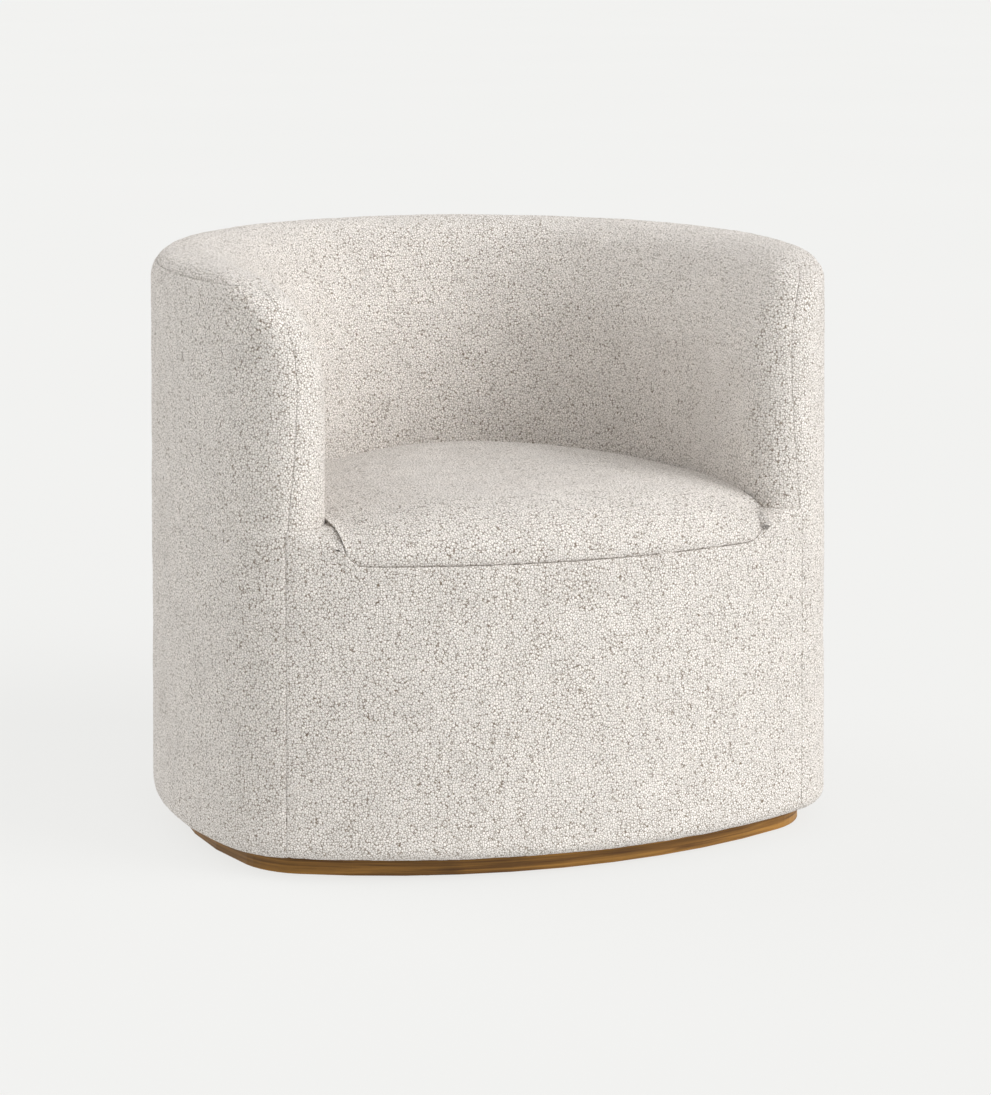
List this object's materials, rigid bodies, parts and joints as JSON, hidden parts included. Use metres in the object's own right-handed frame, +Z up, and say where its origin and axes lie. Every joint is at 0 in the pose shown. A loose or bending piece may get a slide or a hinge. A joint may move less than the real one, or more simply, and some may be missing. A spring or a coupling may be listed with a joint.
{
  "type": "upholstered armchair",
  "caption": "Fixed tub armchair with a wrap-around back and arms of one height, a crowned tight seat and a low wooden plinth, covered all over in loop fabric.",
  "frame": {"origin": "on the floor, under the middle of the chair's bounding box", "axes": "+Z up, -Y towards the front of the chair, +X to the right as seen from the front"},
  "size_m": [0.8354, 0.8096, 0.71],
  "materials": {
    "loop_fabric": "ivory looped weave",
    "foam": "open-cell upholstery foam",
    "wadding": "polyester wadding",
    "fibreboard": "raw fibreboard",
    "hardwood": "planed, unfinished",
    "plywood": "raw birch plywood",
    "plinth_wood": "warm brown stain, satin lacquer",
    "black_cloth": "spunbond lining cloth",
    "spring_steel": "oiled wire",
    "glide_nylon": "moulded nylon"
  },
  "bodies": {
    "root": {"back_post_left": "hardwood", "back_post_right": "hardwood", "back_rail": "hardwood", "bottom_brace": "plywood", "bottom_ring": "plywood", "dust_cover": "black_cloth", "front_board": "fibreboard", "front_cover": "loop_fabric", "front_post_left": "hardwood", "front_post_right": "hardwood", "front_rail": "hardwood", "front_stud_left": "hardwood", "front_stud_right": "hardwood", "front_wadding": "wadding", "glide_back_left": "glide_nylon", "glide_back_right": "glide_nylon", "glide_front_left": "glide_nylon", "glide_front_right": "glide_nylon", "glide_side_left": "glide_nylon", "glide_side_right": "glide_nylon", "inner_board": "fibreboard", "inside_cover": "loop_fabric", "inside_foam": "foam", "outer_board": "fibreboard", "outside_cover": "loop_fabric", "outside_wadding": "wadding", "plinth_board": "plywood", "plinth_rim": "plinth_wood", "plinth_screw_back_left": "spring_steel", "plinth_screw_back_right": "spring_steel", "plinth_screw_front_left": "spring_steel", "plinth_screw_front_right": "spring_steel", "plinth_screw_side_left": "spring_steel", "plinth_screw_side_right": "spring_steel", "rim_cover": "loop_fabric", "rim_foam": "foam", "seat_cover": "loop_fabric", "seat_deck_cloth": "black_cloth", "seat_foam": "foam", "seat_spring_1": "spring_steel", "seat_spring_2": "spring_steel", "seat_spring_3": "spring_steel", "seat_spring_4": "spring_steel", "side_post_left": "hardwood", "side_post_right": "hardwood", "side_rail_left": "hardwood", "side_rail_right": "hardwood", "spring_clip_back_1": "spring_steel", "spring_clip_back_2": "spring_steel", "spring_clip_back_3": "spring_steel", "spring_clip_back_4": "spring_steel", "spring_clip_front_1": "spring_steel", "spring_clip_front_2": "spring_steel", "spring_clip_front_3": "spring_steel", "spring_clip_front_4": "spring_steel", "top_ring": "plywood"}
  },
  "joints": []
}
